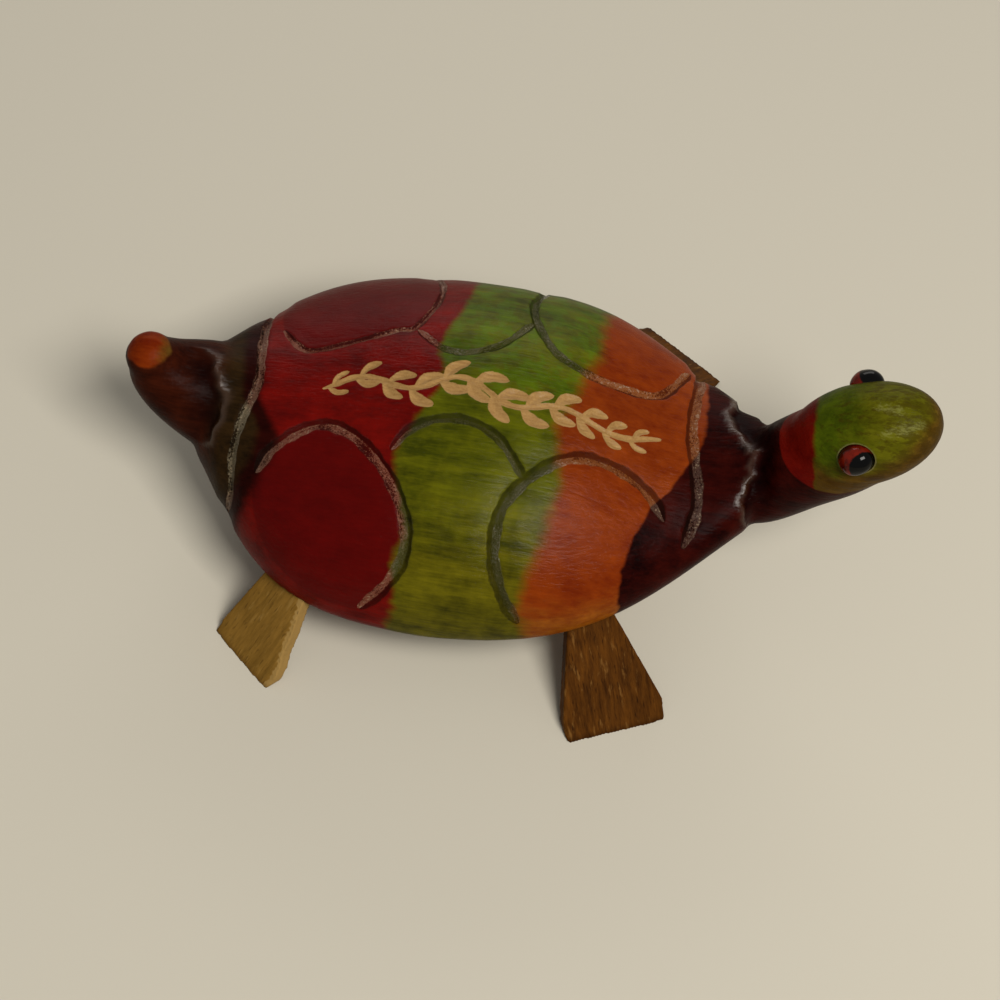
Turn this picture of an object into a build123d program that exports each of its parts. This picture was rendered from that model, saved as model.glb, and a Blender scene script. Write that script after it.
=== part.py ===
from build123d import *
import math
import os

# A hand-carved wooden turtle: one carved block, four slat legs in sawn slots, two seed eyes in sockets.
# Millimetres. +X runs from the tail to the nose, +Y is the turtle's left side and +Z is up.
# The origin is on the floor, under the middle of the overall length.

# Shell of the carved block. Its rim is the widest line round it.
shell_length = 91.0
shell_half_width = 33.0
rim_height = 13.4
rim_climb = 12.0
dome_height = 24.0
belly_depth = 11.0

# Shell sections from the tail to the neck, as shares of the sizes above.
station_shares = (0.0, 0.05, 0.11, 0.20, 0.31, 0.44, 0.57, 0.70, 0.81, 0.91, 1.0)
width_shares = (0.272, 0.46, 0.67, 0.87, 0.97, 1.0, 0.985, 0.912, 0.748, 0.52, 0.29)
climb_shares = (0.44, 0.29, 0.145, 0.04, 0.0, 0.0, 0.115, 0.325, 0.50, 0.74, 1.0)
dome_shares = (0.44, 0.55, 0.635, 0.75, 0.885, 0.99, 0.945, 0.735, 0.50, 0.34, 0.30)
belly_shares = (0.60, 0.66, 0.72, 0.76, 0.78, 0.80, 0.84, 0.93, 0.99, 0.92, 0.72)

# Grooves gouged in the shell: a ring at each end and three scales down each side.
groove_depth = 0.6
tail_ring_width = 1.6
neck_ring_width = 2.1
left_scale_width = 1.5
right_scale_width = 1.9
scale_slope = 45.0

# Lines of the grooves: shares of the shell's length from the tail, and of its half width to one side.
# A ring is drawn from above and runs from left to right. A scale is drawn square to its own slope.
tail_ring_shares = (
    (0.1, 0.66), (0.105, 0.5), (0.085, 0.38), (0.09, 0.16),
    (0.1, -0.05), (0.08, -0.26), (0.075, -0.4), (0.08, -0.56),
)
neck_ring_shares = (
    (0.88, 0.62), (0.88, 0.32), (0.875, 0.12), (0.885, -0.07), (0.9, -0.23), (0.9, -0.36), (0.885, -0.5),
)
left_tail_scale_shares = (
    (0.12, -0.11), (0.16, -0.225), (0.26, -0.235), (0.355, -0.2),
    (0.385, -0.045), (0.39, 0.1), (0.37, 0.42), (0.345, 0.53),
)
left_middle_scale_shares = (
    (0.36, -0.22), (0.405, -0.32), (0.445, -0.355), (0.485, -0.335), (0.525, -0.275), (0.57, -0.095),
)
left_neck_scale_shares = (
    (0.62, 0.54), (0.575, 0.4), (0.56, 0.07), (0.575, -0.12),
    (0.61, -0.26), (0.675, -0.3), (0.795, -0.21), (0.86, 0.07),
)
right_tail_scale_shares = (
    (0.125, 0.06), (0.145, -0.06), (0.185, -0.17), (0.23, -0.225), (0.28, -0.215),
    (0.325, -0.155), (0.395, 0.07), (0.405, 0.28), (0.375, 0.49), (0.34, 0.615),
)
right_middle_scale_shares = (
    (0.355, -0.185), (0.38, -0.285), (0.415, -0.35), (0.46, -0.38),
    (0.5, -0.365), (0.545, -0.31), (0.595, -0.165),
)
right_neck_scale_shares = (
    (0.625, 0.54), (0.59, 0.415), (0.56, 0.2), (0.56, 0.0), (0.58, -0.11),
    (0.62, -0.22), (0.67, -0.28), (0.72, -0.275), (0.78, -0.21), (0.845, -0.035),
)

# Tail, a thumb of wood that turns up behind the shell and ends in a ball.
tail_reach = 13.0
tail_root_height = 23.0
tail_rise = 7.6
tail_root_radius = 9.0
tail_tip_radius = 4.1
tail_run_shares = (-0.67, -0.22, 0.13, 0.49, 0.79, 1.0)
tail_rise_shares = (-0.37, -0.13, 0.09, 0.30, 0.59, 1.0)
tail_girth_shares = (0.94, 1.0, 0.86, 0.63, 0.35, 0.0)

# Head, an egg whose long axis rises to the nose.
head_reach = 26.0
head_height = 42.8
head_length = 26.8
head_radius = 8.1
head_tilt = 39.5

# Neck, from the front of the shell to the middle of the head.
neck_root_height = 25.0
neck_radius = 7.8
neck_run_shares = (-0.17, 0.10, 0.23, 0.40, 0.58, 0.79, 0.99)
neck_rise_shares = (-0.17, 0.04, 0.13, 0.31, 0.50, 0.73, 0.97)
neck_girth_shares = (0.82, 1.0, 0.98, 0.98, 1.0, 1.03, 1.02)

# Seed eyes, set in sockets on both sides of the head.
seed_length = 5.8
seed_radius = 2.6
seed_angle = 25.5
right_seed_station = 1.1
right_seed_sink = 0.3
left_seed_station = 1.9
left_seed_sink = 0.45

# Slat legs. A root is where a slat's middle plane meets the level of the rim.
slat_thickness = 2.6
tenon_depth = 8.0
glue_gap = 0.1

front_right_station_share = 0.756
front_left_station_share = 0.757
front_side_share = 0.676
front_right_splay = 48.7
front_left_splay = 51.6
front_right_turn = 24.5
front_left_turn = 32.5
front_foot_length = 17.3
front_root_width = 6.9
front_root_shift = -1.45
front_toe = 2.4

rear_station_share = 0.232
rear_side_share = 0.821
rear_splay = 39.2
rear_turn = -41.7
rear_foot_length = 14.2
rear_root_width = 8.1
rear_root_shift = -1.55
rear_toe = 1.2

# Places that follow from the sizes.
overall_length = tail_reach + shell_length + head_reach
shell_back = tail_reach - overall_length / 2
shell_front = shell_back + shell_length
shell_middle = (shell_back, 0, rim_height)
groove_reach = shell_half_width + dome_height
head_half_length = head_length / 2
tilt = math.radians(head_tilt)
head_span = math.hypot(head_half_length * math.cos(tilt), head_radius * math.sin(tilt))
head_middle = Vector(shell_front + head_reach - head_span, 0, head_height)
head_forward = Vector(math.cos(tilt), 0, math.sin(tilt))
head_up = Vector(-math.sin(tilt), 0, math.cos(tilt))


def shell_sections(inset):
    """Sections of the shell from the tail to the neck, each drawn smaller by an inset."""
    sections = []
    for station, width, climb, dome, belly in zip(
        station_shares, width_shares, climb_shares, dome_shares, belly_shares
    ):
        rim_point = (shell_back + station * shell_length, 0, rim_height + climb * rim_climb)
        half_width = width * shell_half_width - inset
        dome_rise = dome * dome_height - inset
        belly_drop = belly * belly_depth - inset
        with BuildSketch(Plane(origin=rim_point, x_dir=(0, 1, 0), z_dir=(1, 0, 0))) as section:
            with BuildLine():
                EllipticalCenterArc((0, 0), half_width, dome_rise, start_angle=0, arc_size=180)
                EllipticalCenterArc((0, 0), half_width, belly_drop, start_angle=180, arc_size=180)
            make_face()
        sections.append(section.sketch)
    return sections


def groove_band(lean, outward, shares, width):
    """A band along a smooth line, on a plane through the middle of the shell that leans to one side."""
    tip = math.radians(lean)
    plane = Plane(origin=shell_middle, x_dir=(1, 0, 0), z_dir=(0, math.sin(tip), math.cos(tip)))
    places = [(station * shell_length, outward * across * shell_half_width) for station, across in shares]
    with BuildSketch(plane) as band:
        with BuildLine():
            Spline(*places)
        trace(line_width=width)
    return band.sketch


def round_sections(points, radii):
    """Circles square to a path in the plane of symmetry, ready for a loft."""
    sections = []
    for place, (point, radius) in enumerate(zip(points, radii)):
        before = points[max(place - 1, 0)]
        after = points[min(place + 1, len(points) - 1)]
        with BuildSketch(Plane(origin=point, x_dir=(0, 1, 0), z_dir=after - before)) as section:
            Circle(radius)
        sections.append(section.sketch)
    return sections


def path_points(start, end, run_shares, rise_shares):
    """Points between two places in the plane of symmetry, by shares of the run and the rise."""
    span = end - start
    return [start + Vector(span.X * run, 0, span.Z * rise) for run, rise in zip(run_shares, rise_shares)]


def seed_plane(side, station, sink):
    """The plane of a seed's outline: its origin is the seed's middle, its X axis the seed's length."""
    lift = math.radians(seed_angle)
    outward = Vector(0, side * math.cos(lift), 0) + head_up * math.sin(lift)
    surface = head_radius * math.sqrt(1 - (station / head_half_length) ** 2)
    middle = head_middle + head_forward * station + outward * (surface - sink)
    return Plane(origin=middle, x_dir=head_forward, z_dir=outward)


def seed_outline(plane, growth):
    """Half of the seed's outline, grown by a gap, on one side of its long axis."""
    half_length = seed_length / 2 + growth
    radius = seed_radius + growth
    with BuildSketch(plane) as outline:
        with BuildLine():
            EllipticalCenterArc((0, 0), half_length, radius, start_angle=0, arc_size=180)
            Line((-half_length, 0), (half_length, 0))
        make_face()
    return outline.sketch


def leg_plane(side, station_share, side_share, splay, turn):
    """The middle plane of a slat: origin under the root on the floor line, X along the foot, Y up the slat."""
    lean = math.radians(splay)
    heading = math.radians(turn)
    along = Vector(math.cos(heading), side * -math.sin(heading), 0)
    outward = Vector(math.sin(heading), side * math.cos(heading), 0)
    root = Vector(shell_back + station_share * shell_length, side * side_share * shell_half_width, rim_height)
    foot = root + outward * rim_height * math.tan(lean) - Vector(0, 0, rim_height)
    up_slat = root - foot
    return Plane(origin=foot, x_dir=along, z_dir=along.cross(up_slat))


def leg_outline(plane, splay, foot_length, root_width, root_shift, toe, growth):
    """A slat's outline, grown by a gap: foot, upright toe, taper to the root, parallel tenon."""
    root_level = rim_height / math.cos(math.radians(splay))
    sole_level = -slat_thickness
    half_foot = foot_length / 2
    front_root = root_shift + root_width / 2
    back_root = root_shift - root_width / 2
    tenon_level = root_level + tenon_depth
    with BuildSketch(plane) as outline:
        with BuildLine():
            Polyline(
                (-half_foot, sole_level),
                (half_foot, sole_level),
                (half_foot, toe),
                (front_root, root_level),
                (front_root, tenon_level),
                (back_root, tenon_level),
                (back_root, root_level),
                (-half_foot, toe),
                close=True,
            )
        make_face()
        if growth > 0:
            offset(amount=growth, kind=Kind.INTERSECTION)
    return outline.sketch


right, left = -1, 1
bands = [
    groove_band(0, left, tail_ring_shares, tail_ring_width),
    groove_band(0, left, neck_ring_shares, neck_ring_width),
]
for shares in (left_tail_scale_shares, left_middle_scale_shares, left_neck_scale_shares):
    bands.append(groove_band(scale_slope, left, shares, left_scale_width))
for shares in (right_tail_scale_shares, right_middle_scale_shares, right_neck_scale_shares):
    bands.append(groove_band(-scale_slope, right, shares, right_scale_width))

front_right_place = (front_right_station_share, front_side_share, front_right_splay, front_right_turn)
front_left_place = (front_left_station_share, front_side_share, front_left_splay, front_left_turn)
front_shape = (front_foot_length, front_root_width, front_root_shift, front_toe)
rear_place = (rear_station_share, rear_side_share, rear_splay, rear_turn)
rear_shape = (rear_foot_length, rear_root_width, rear_root_shift, rear_toe)
legs = {
    "front_right_leg": (leg_plane(right, *front_right_place), (front_right_splay, *front_shape)),
    "front_left_leg": (leg_plane(left, *front_left_place), (front_left_splay, *front_shape)),
    "rear_right_leg": (leg_plane(right, *rear_place), (rear_splay, *rear_shape)),
    "rear_left_leg": (leg_plane(left, *rear_place), (rear_splay, *rear_shape)),
}
seeds = {
    "right_eye_seed": seed_plane(right, right_seed_station, right_seed_sink),
    "left_eye_seed": seed_plane(left, left_seed_station, left_seed_sink),
}

# The carved block: shell, tail, neck and head in one piece of wood, with slots and sockets cut in it.
with BuildPart() as carved_body:
    loft(shell_sections(0))
    with BuildPart(mode=Mode.SUBTRACT):
        for band in bands:
            extrude(band, amount=groove_reach)
        loft(shell_sections(groove_depth), mode=Mode.SUBTRACT)

    tail_root = Vector(shell_back, 0, tail_root_height)
    tail_tip = Vector(shell_back - tail_reach + tail_tip_radius, 0, tail_root_height + tail_rise)
    tail_taper = tail_root_radius - tail_tip_radius
    tail_points = path_points(tail_root, tail_tip, tail_run_shares, tail_rise_shares)
    tail_radii = [tail_tip_radius + share * tail_taper for share in tail_girth_shares]
    loft(round_sections(tail_points, tail_radii))
    with Locations(tail_tip):
        Sphere(tail_tip_radius)

    neck_root = Vector(shell_front, 0, neck_root_height)
    neck_points = path_points(neck_root, head_middle, neck_run_shares, neck_rise_shares)
    neck_radii = [share * neck_radius for share in neck_girth_shares]
    loft(round_sections(neck_points, neck_radii))
    with BuildSketch(Plane(origin=head_middle, x_dir=head_forward, z_dir=(0, 1, 0))):
        with BuildLine():
            EllipticalCenterArc((0, 0), head_half_length, head_radius, start_angle=0, arc_size=180)
            Line((-head_half_length, 0), (head_half_length, 0))
        make_face()
    revolve(axis=Axis(head_middle, head_forward))

    for plane, shape in legs.values():
        slot = leg_outline(plane, *shape, glue_gap)
        extrude(slot, amount=slat_thickness / 2 + glue_gap, both=True, mode=Mode.SUBTRACT)
    for plane in seeds.values():
        socket = seed_outline(plane, glue_gap)
        revolve(socket, axis=Axis(plane.origin, plane.x_dir), mode=Mode.SUBTRACT)

os.makedirs("parts", exist_ok=True)
carved_body.part.label = "carved_body"
export_step(carved_body.part, "parts/carved_body.step")

# The legs: flat slats cut level at the floor.
for label, (plane, shape) in legs.items():
    with BuildPart() as leg:
        slat = leg_outline(plane, *shape, 0)
        extrude(slat, amount=slat_thickness / 2, both=True)
        split(bisect_by=Plane.XY, keep=Keep.TOP)
    leg.part.label = label
    export_step(leg.part, "parts/" + label + ".step")

# The eyes: seeds, each a body of revolution about its length.
for label, plane in seeds.items():
    with BuildPart() as seed:
        half = seed_outline(plane, 0)
        revolve(half, axis=Axis(plane.origin, plane.x_dir))
    seed.part.label = label
    export_step(seed.part, "parts/" + label + ".step")
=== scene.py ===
import math

import bmesh
import bpy
import numpy as np
from mathutils import Matrix, Vector, noise
from mathutils.bvhtree import BVHTree


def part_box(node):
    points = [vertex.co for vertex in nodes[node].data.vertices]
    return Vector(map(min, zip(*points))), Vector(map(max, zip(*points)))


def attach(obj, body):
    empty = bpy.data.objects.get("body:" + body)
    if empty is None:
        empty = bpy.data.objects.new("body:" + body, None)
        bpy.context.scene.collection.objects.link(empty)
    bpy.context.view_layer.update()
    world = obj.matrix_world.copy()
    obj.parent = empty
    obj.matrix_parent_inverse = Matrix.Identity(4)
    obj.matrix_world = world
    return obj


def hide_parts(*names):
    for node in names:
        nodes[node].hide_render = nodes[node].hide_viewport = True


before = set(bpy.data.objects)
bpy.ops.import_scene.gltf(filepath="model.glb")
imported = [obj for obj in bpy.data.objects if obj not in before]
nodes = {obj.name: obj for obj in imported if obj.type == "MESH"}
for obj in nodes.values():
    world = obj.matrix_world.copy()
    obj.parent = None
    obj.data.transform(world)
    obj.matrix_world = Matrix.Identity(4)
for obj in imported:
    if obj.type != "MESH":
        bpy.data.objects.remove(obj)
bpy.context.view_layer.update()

# Looks of the carved wooden turtle. Blender works in metres; lengths named _mm are millimetres.
MM = 0.001
image_side = 1000
scene = bpy.context.scene
scene.view_settings.view_transform = "Standard"

# Camera, where the photograph was taken from.
camera_target = Vector((-1.334, 0.0, 3.368)) * MM
camera_distance = 430.0 * MM
camera_elevation = math.radians(60.0)
camera_roll = math.radians(9.5)
camera_lens_mm = 90.37
camera_sensor_mm = 36.0
camera_back = Vector((0.0, -math.cos(camera_elevation), math.sin(camera_elevation)))
level_up = Vector((0.0, math.sin(camera_elevation), math.cos(camera_elevation)))
camera_right = Vector((math.cos(camera_roll), 0.0, 0.0)) + level_up * math.sin(camera_roll)
camera_up = Vector((-math.sin(camera_roll), 0.0, 0.0)) + level_up * math.cos(camera_roll)
camera_place = camera_target + camera_back * camera_distance
focal_pixels = camera_lens_mm / camera_sensor_mm * image_side

camera_data = bpy.data.cameras.new("camera")
camera_data.lens = camera_lens_mm
camera_data.sensor_width = camera_sensor_mm
camera = bpy.data.objects.new("camera", camera_data)
scene.collection.objects.link(camera)
camera_axes = Matrix((camera_right, camera_up, camera_back)).transposed()
camera.matrix_world = Matrix.Translation(camera_place) @ camera_axes.to_4x4()
scene.camera = camera

# The wood block: remesh, smoothing and the gap round what is let into it.
glue_gap = 0.1 * MM
insert_reach = 0.2 * MM
weld_reach = 0.002 * MM
body_voxel = 0.8 * MM
body_smoothing = 10
cad_cut_reach_mm = 2.7
cad_cut_closing = 70
smoothing_in = 0.5
smoothing_out = -0.51
sharp_angle = math.radians(50.0)
far_off = 9.0

# Frame of the head's paint, its lower edge in that frame, and the paint on the tail's ball.
paint_middle_mm = np.array((54.03, 0.0, 43.2))
paint_tilt = math.radians(30.0)
paint_forward = np.array((math.cos(paint_tilt), 0.0, math.sin(paint_tilt)))
paint_up = np.array((-math.sin(paint_tilt), 0.0, math.cos(paint_tilt)))
throat_ahead_mm = (-19.0, -17.0, -15.5, -14.0, -12.4, -8.8, -5.2, 0.0, 6.0, 11.8)
throat_above_mm = (99.0, 12.0, 6.0, 2.2, 0.3, -2.5, -4.6, -5.2, -4.6, -2.0)
head_green_start_mm = 7.9
head_green_slope = 0.28
face_start_mm = -8
crown_start_mm = -4
tail_tip_mm = np.array((-60.9, 0.0, 30.6))
tail_cap_up = np.array((-0.15, 0.0, 0.99))
tail_cap_rise_mm = 2.0
tail_cap_limit_mm = -50

# Height of the middle of the shell's sections, from the tail to the neck.
core_stations_mm = (-52.0, -34.0, 0.0, 16.0, 39.0)
core_heights_mm = (18.7, 13.9, 14.8, 18.1, 25.4)

# Legs: side, lean and turn of each slat in degrees, as in the CAD source, how far its front edge is split
# in millimetres, how much its heel is worn round, and where in the noise its grain is taken.
leg_frames = {
    "front_right_leg": (-1, 48.7, 24.5, 0.0, 0.3, 70.0),
    "front_left_leg": (1, 51.6, 32.5, 0.0, 0.3, 77.0),
    "rear_right_leg": (-1, 39.2, -41.7, 1.5, 1.0, 84.0),
    "rear_left_leg": (1, 39.2, -41.7, 0.9, 1.0, 91.0),
}
leg_voxel = 0.25 * MM
leg_smoothing = 3
corner_rounding = 14
corner_reach_mm = 1.8
leg_relief_mm = 0.07
leg_grain_scales = (1.3, 0.13, 1.0)
leg_fine_scales = (3.1, 0.3, 2.0)
split_depth_mm = 0.25
split_slope_mm = 0.9
side_wear_mm = 0.35
side_wear_reach_mm = 1.2

# Seeds: side and where the black spot points; then the egg axis of the head, which their length follows.
seed_frames = {
    "right_eye_seed": (-1, (0.47, -0.76, 0.44)),
    "left_eye_seed": (1, (0.22, 0.24, 0.94)),
}
seed_tilt = math.radians(39.5)
seed_lift = math.radians(25.5)
seed_half_length_mm = 2.9
seed_radius_mm = 2.6
seed_taper = 0.07
seed_dent_mm = 0.10
seed_dent_scales = (0.45, 0.45, 0.45)
seed_rings = 48
seed_segments = 64

# What is let into the block.
insert_names = (*leg_frames, *seed_frames)

# Carved lines. A pair is a pixel of the photograph; a triple is a place in millimetres on the hidden side.
# Each line has its points, half its width, its depth, the side of its steep wall, and how much painted
# shade that wall gets.
carved_lines = {
    "tail_ring": (
        [(-43.2, 20.2, 13.5), (-43.4, 19.0, 18.0), (-43.6, 16.6, 22.8), (268, 323), (262, 350), (258, 384),
         (241, 421), (232, 455), (230, 495), (-46.0, -18.0, 14.0)], 0.80, 0.60, -1, 0.2,
    ),
    "neck_ring": (
        [(27.4, 19.6, 18.6), (28.0, 17.7, 23.2), (28.3, 14.4, 26.8), (697, 398), (692, 428), (694, 460),
         (697, 492), (694, 518), (682, 549)], 1.05, 0.70, -1, 0.6,
    ),
    "left_tail_scale": (
        [(284, 330), (300, 347), (318, 350), (360, 340), (398, 330), (416, 327), (436, 306), (443, 292),
         (-17.0, 26.3, 26.6), (-18.4, 29.3, 22.8), (-21.0, 31.3, 18.4)], 0.65, 0.50, 1, 0.25,
    ),
    "left_middle_scale": (
        [(418, 330), (440, 346), (460, 352), (483, 350), (507, 342), (537, 322)], 0.70, 0.55, -1, 0.7,
    ),
    "left_neck_scale": (
        [(4.5, 31.0, 19.5), (0.5, 29.5, 23.0), (545, 295), (535, 305), (538, 324), (556, 352), (588, 374),
         (621, 388), (652, 396), (670, 391), (690, 374)], 0.85, 0.60, -1, 0.4,
    ),
    "right_tail_scale": (
        [(255, 473), (270, 450), (298, 431), (324, 424), (350, 433), (372, 453), (391, 481), (403, 512),
         (406, 541), (399, 567), (380, 592), (358, 609)], 1.10, 0.70, 1, 0.8,
    ),
    "right_middle_scale": (
        [(390, 450), (407, 431), (430, 420), (456, 418), (480, 425), (503, 443), (525, 480)],
        0.90, 0.65, 1, 1.0,
    ),
    "right_neck_scale": (
        [(518, 624), (503, 600), (494, 570), (493, 545), (499, 514), (514, 491), (542, 469), (572, 458),
         (602, 462), (632, 478), (653, 499), (664, 522)], 1.10, 0.75, 1, 1.0,
    ),
}

# How finely a line is laid, how far below or above it places still count, and the shape of a groove.
line_spacing_mm = 0.25
line_reach_mm = 3
out_of_reach_mm = 99
groove_blunt_mm = 3.0
groove_lean = 0.3
groove_hollow = 0.85
groove_stride_mm = 20.0
cut_margin_mm = 2
cut_calm_share = 2.5
cut_smoothing = 3
off_cut_share = 1.5
scale_reach_mm = 9

# How the width of a cut wanders: the size, pace and start of each wave.
wander_waves = ((0.10, 0.9, 1.0), (0.06, 2.3, 1.7))

# Broad knife cuts that rise to a sharp ridge on one side: at the root of the tail and behind the head.
notches = {
    "tail_notch": ([(184, 346), (193, 366), (198, 392), (197, 416), (191, 436)], 3.8, 1.1, 1),
    "neck_notch": ([(764, 404), (766, 436), (766, 468), (762, 498), (752, 522)], 3.0, 0.9, -1),
}
ridge_share = 0.55
ridge_place = 1.05
ridge_width = 0.16
notch_fade_mm = 5.0
notch_smoothing = 3

# Where the paint is pale on top of the head: a worn chip along the first line, and a painted highlight
# streak along the second.
wear_and_highlight_marks = ([(880, 408), (890, 409), (900, 411)], [(886, 434), (905, 430), (924, 426)])

# Ornament along the spine: a wavy stem with leaf cuts on both sides, in bare wood.
vine_pixels = [
    (322, 389), (368, 378), (415, 385), (462, 380), (510, 402), (556, 408), (604, 430), (668, 441),
]
vine_wave_mm = 0.6
vine_wave_length_mm = 19.0
vine_half_width_mm = 0.55
vine_depth_mm = 0.4
vine_calm_mm = 6
vine_blunt_mm = 4.0
leaf_pitch_mm = 4.7
leaf_length_mm = 5.4
leaf_start_mm = 0.2
leaf_first_mm = 1.2
leaf_last_mm = 3
leaf_stagger_mm = 0.4
leaf_shrink = 0.35
leaf_angle = math.radians(64.0)
leaf_bend = math.radians(-34.0)
leaf_half_width_mm = 1.0
leaf_depth_mm = 0.55

# Edges of the stains round the shell, as pixels, with places in millimetres on the hidden side.
stain_edges = {
    "red_edge": [
        (-44, 16, 20), (266, 340), (263, 372), (262, 400), (276, 436), (268, 464), (254, 490),
        (238, 520), (-44, 0, 8),
    ],
    "green_edge": [
        (-12, 31, 20), (480, 285), (461, 314), (440, 345), (443, 367), (438, 386), (424, 405),
        (405, 432), (395, 456), (398, 485), (404, 528), (393, 566), (391, 610), (386, 628),
        (-12, 0, 6),
    ],
    "orange_edge": [
        (12, 27, 21), (606, 325), (602, 352), (584, 378), (572, 404), (559, 428), (558, 456),
        (561, 482), (549, 512), (543, 545), (526, 584), (518, 608), (524, 632), (10, 0, 6),
    ],
    "brown_edge": [
        (30, 18, 20), (712, 385), (708, 420), (698, 455), (668, 494), (650, 508), (628, 552),
        (620, 585), (20, -25, 17), (25, 0, 9),
    ],
}

# How far from a cut the mesh is made finer, once and then again.
fine_reaches_mm = (2.5, 1.5)
fine_fall_mm = 0.3
fine_margin_mm = 0.2


def link(name, mesh):
    """A new object with this mesh or lamp, shown in the scene."""
    made = bpy.data.objects.new(name, mesh)
    scene.collection.objects.link(made)
    return made


def welded(node):
    """A closed copy of a CAD solid, with the doubled points of its sharp edges joined."""
    bm = bmesh.new()
    bm.from_mesh(nodes[node].data)
    bmesh.ops.remove_doubles(bm, verts=bm.verts, dist=weld_reach)
    bm.normal_update()
    return bm


def to_mesh(bm, name):
    """The mesh of a bmesh, which is freed."""
    mesh = bpy.data.meshes.new(name)
    bm.to_mesh(mesh)
    bm.free()
    return mesh


def applied(mesh, name, setup):
    """The mesh after one modifier, which setup fills in."""
    holder = link(name, mesh)
    setup(holder)
    graph = bpy.context.evaluated_depsgraph_get()
    result = bpy.data.meshes.new_from_object(holder.evaluated_get(graph))
    bpy.data.objects.remove(holder)
    return result


def remeshed(mesh, voxel):
    """The mesh as an even skin of small quads."""
    def setup(holder):
        modifier = holder.modifiers.new("remesh", "REMESH")
        modifier.mode = "VOXEL"
        modifier.voxel_size = voxel

    return applied(mesh, "remesh_holder", setup)


def rows(items, key, width, kind=float):
    """What is kept for each point or edge of a mesh, as rows."""
    values = np.zeros(len(items) * width, dtype=kind)
    items.foreach_get(key, values)
    return values.reshape(-1, width)


def points_of(mesh):
    """Places of a mesh's points, in metres."""
    return rows(mesh.vertices, "co", 3)


def normals_of(mesh):
    """Normals of a mesh's points."""
    return rows(mesh.vertices, "normal", 3)


def edges_of(mesh):
    """Pairs of points that a mesh's edges join."""
    return rows(mesh.edges, "vertices", 2, np.int64)


def set_points(mesh, places):
    """Moves a mesh's points."""
    mesh.vertices.foreach_set("co", places.astype(np.float32).ravel())
    mesh.update()


def relax(mesh, steps, chosen=None, step_out=smoothing_out):
    """Smooths a mesh by steps in, each followed by a step out that stops it from shrinking."""
    places = points_of(mesh)
    pairs = edges_of(mesh)
    count = np.zeros(len(places))
    np.add.at(count, pairs[:, 0], 1)
    np.add.at(count, pairs[:, 1], 1)
    share = np.ones(len(places)) if chosen is None else chosen.astype(float)
    for step in range(steps * 2):
        total = np.zeros_like(places)
        np.add.at(total, pairs[:, 0], places[pairs[:, 1]])
        np.add.at(total, pairs[:, 1], places[pairs[:, 0]])
        pull = smoothing_in if step % 2 == 0 else step_out
        places += (total / np.maximum(count, 1)[:, None] - places) * (share * pull)[:, None]
    set_points(mesh, places)


def tree_of(mesh):
    """A search tree of a mesh's faces."""
    return BVHTree.FromPolygons([v.co for v in mesh.vertices], [p.vertices for p in mesh.polygons])


def filled_block():
    """The CAD block with its slots and sockets closed level with the wood round them."""
    bm = welded("carved_body")
    near = set()
    for node in insert_names:
        tree = tree_of(nodes[node].data)
        near.update(v for v in bm.verts if tree.find_nearest(v.co, insert_reach)[0] is not None)
    walls = [face for face in bm.faces if all(v in near for v in face.verts)]
    bmesh.ops.delete(bm, geom=walls, context="FACES")
    mouths = [edge for edge in bm.edges if edge.is_boundary]
    made = bmesh.ops.holes_fill(bm, edges=mouths, sides=0)
    bmesh.ops.triangulate(bm, faces=made["faces"])
    return to_mesh(bm, "filled_block")


def cut_inserts(mesh):
    """Cuts the slots and sockets back into the smoothed block."""
    cutters = []
    for node in insert_names:
        bm = welded(node)
        for vertex in bm.verts:
            vertex.co += vertex.normal * glue_gap * vertex.calc_shell_factor()
        cutters.append(link("cutter_" + node, to_mesh(bm, "cutter_" + node)))

    def setup(holder):
        for cutter in cutters:
            modifier = holder.modifiers.new(cutter.name, "BOOLEAN")
            modifier.operation = "DIFFERENCE"
            modifier.solver = "MANIFOLD"
            modifier.object = cutter

    result = applied(mesh, "cut_holder", setup)
    for cutter in cutters:
        bpy.data.objects.remove(cutter)
    return result


def on_wood(tree, point):
    """A place on the wood, from a pixel of the photograph or a rough place in millimetres."""
    if len(point) == 2:
        aside = camera_right * (point[0] - image_side / 2)
        above = camera_up * (image_side / 2 - point[1])
        sight = (aside + above - camera_back * focal_pixels).normalized()
        hit = tree.ray_cast(camera_place, sight)[0]
        return hit or tree.find_nearest(camera_place + sight * camera_distance)[0]
    return tree.find_nearest(Vector(point) * MM)[0]


def spline(points):
    """Points along a smooth curve through the given places, in millimetres."""
    knots = np.array(points)
    padded = np.vstack((2 * knots[0] - knots[1], knots, 2 * knots[-1] - knots[-2]))
    pieces = []
    for place in range(1, len(padded) - 2):
        a, b, c, d = padded[place - 1:place + 3]
        steps = max(2, int(np.linalg.norm(c - b) / line_spacing_mm))
        t = np.linspace(0, 1, steps, endpoint=False)[:, None]
        linear = (c - a) * t
        square = (2 * a - 5 * b + 4 * c - d) * t ** 2
        cube = (3 * b - a - 3 * c + d) * t ** 3
        pieces.append(b + (linear + square + cube) / 2)
    pieces.append(knots[-1:])
    return np.vstack(pieces)


def laid(tree, points):
    """A smooth line on the wood through some points: places and normals, in millimetres."""
    rough = spline([np.array(on_wood(tree, point)) / MM for point in points])
    found = [tree.find_nearest(Vector(place) * MM) for place in rough]
    return np.array([hit[0] for hit in found]) / MM, np.array([hit[1] for hit in found])


def lengths(vectors):
    """Length of each vector."""
    return np.linalg.norm(vectors, axis=-1)


def along(line):
    """Length along a line at each of its points."""
    return np.concatenate(([0.0], np.cumsum(lengths(np.diff(line, axis=0)))))


def unit(vectors):
    """The same directions with length 1."""
    return vectors / lengths(vectors)[:, None]


def in_box(places, line, reach):
    """Numbers of the places in the box round a line."""
    inside = (places > line.min(0) - reach) & (places < line.max(0) + reach)
    return np.nonzero(inside.all(1))[0]


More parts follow.
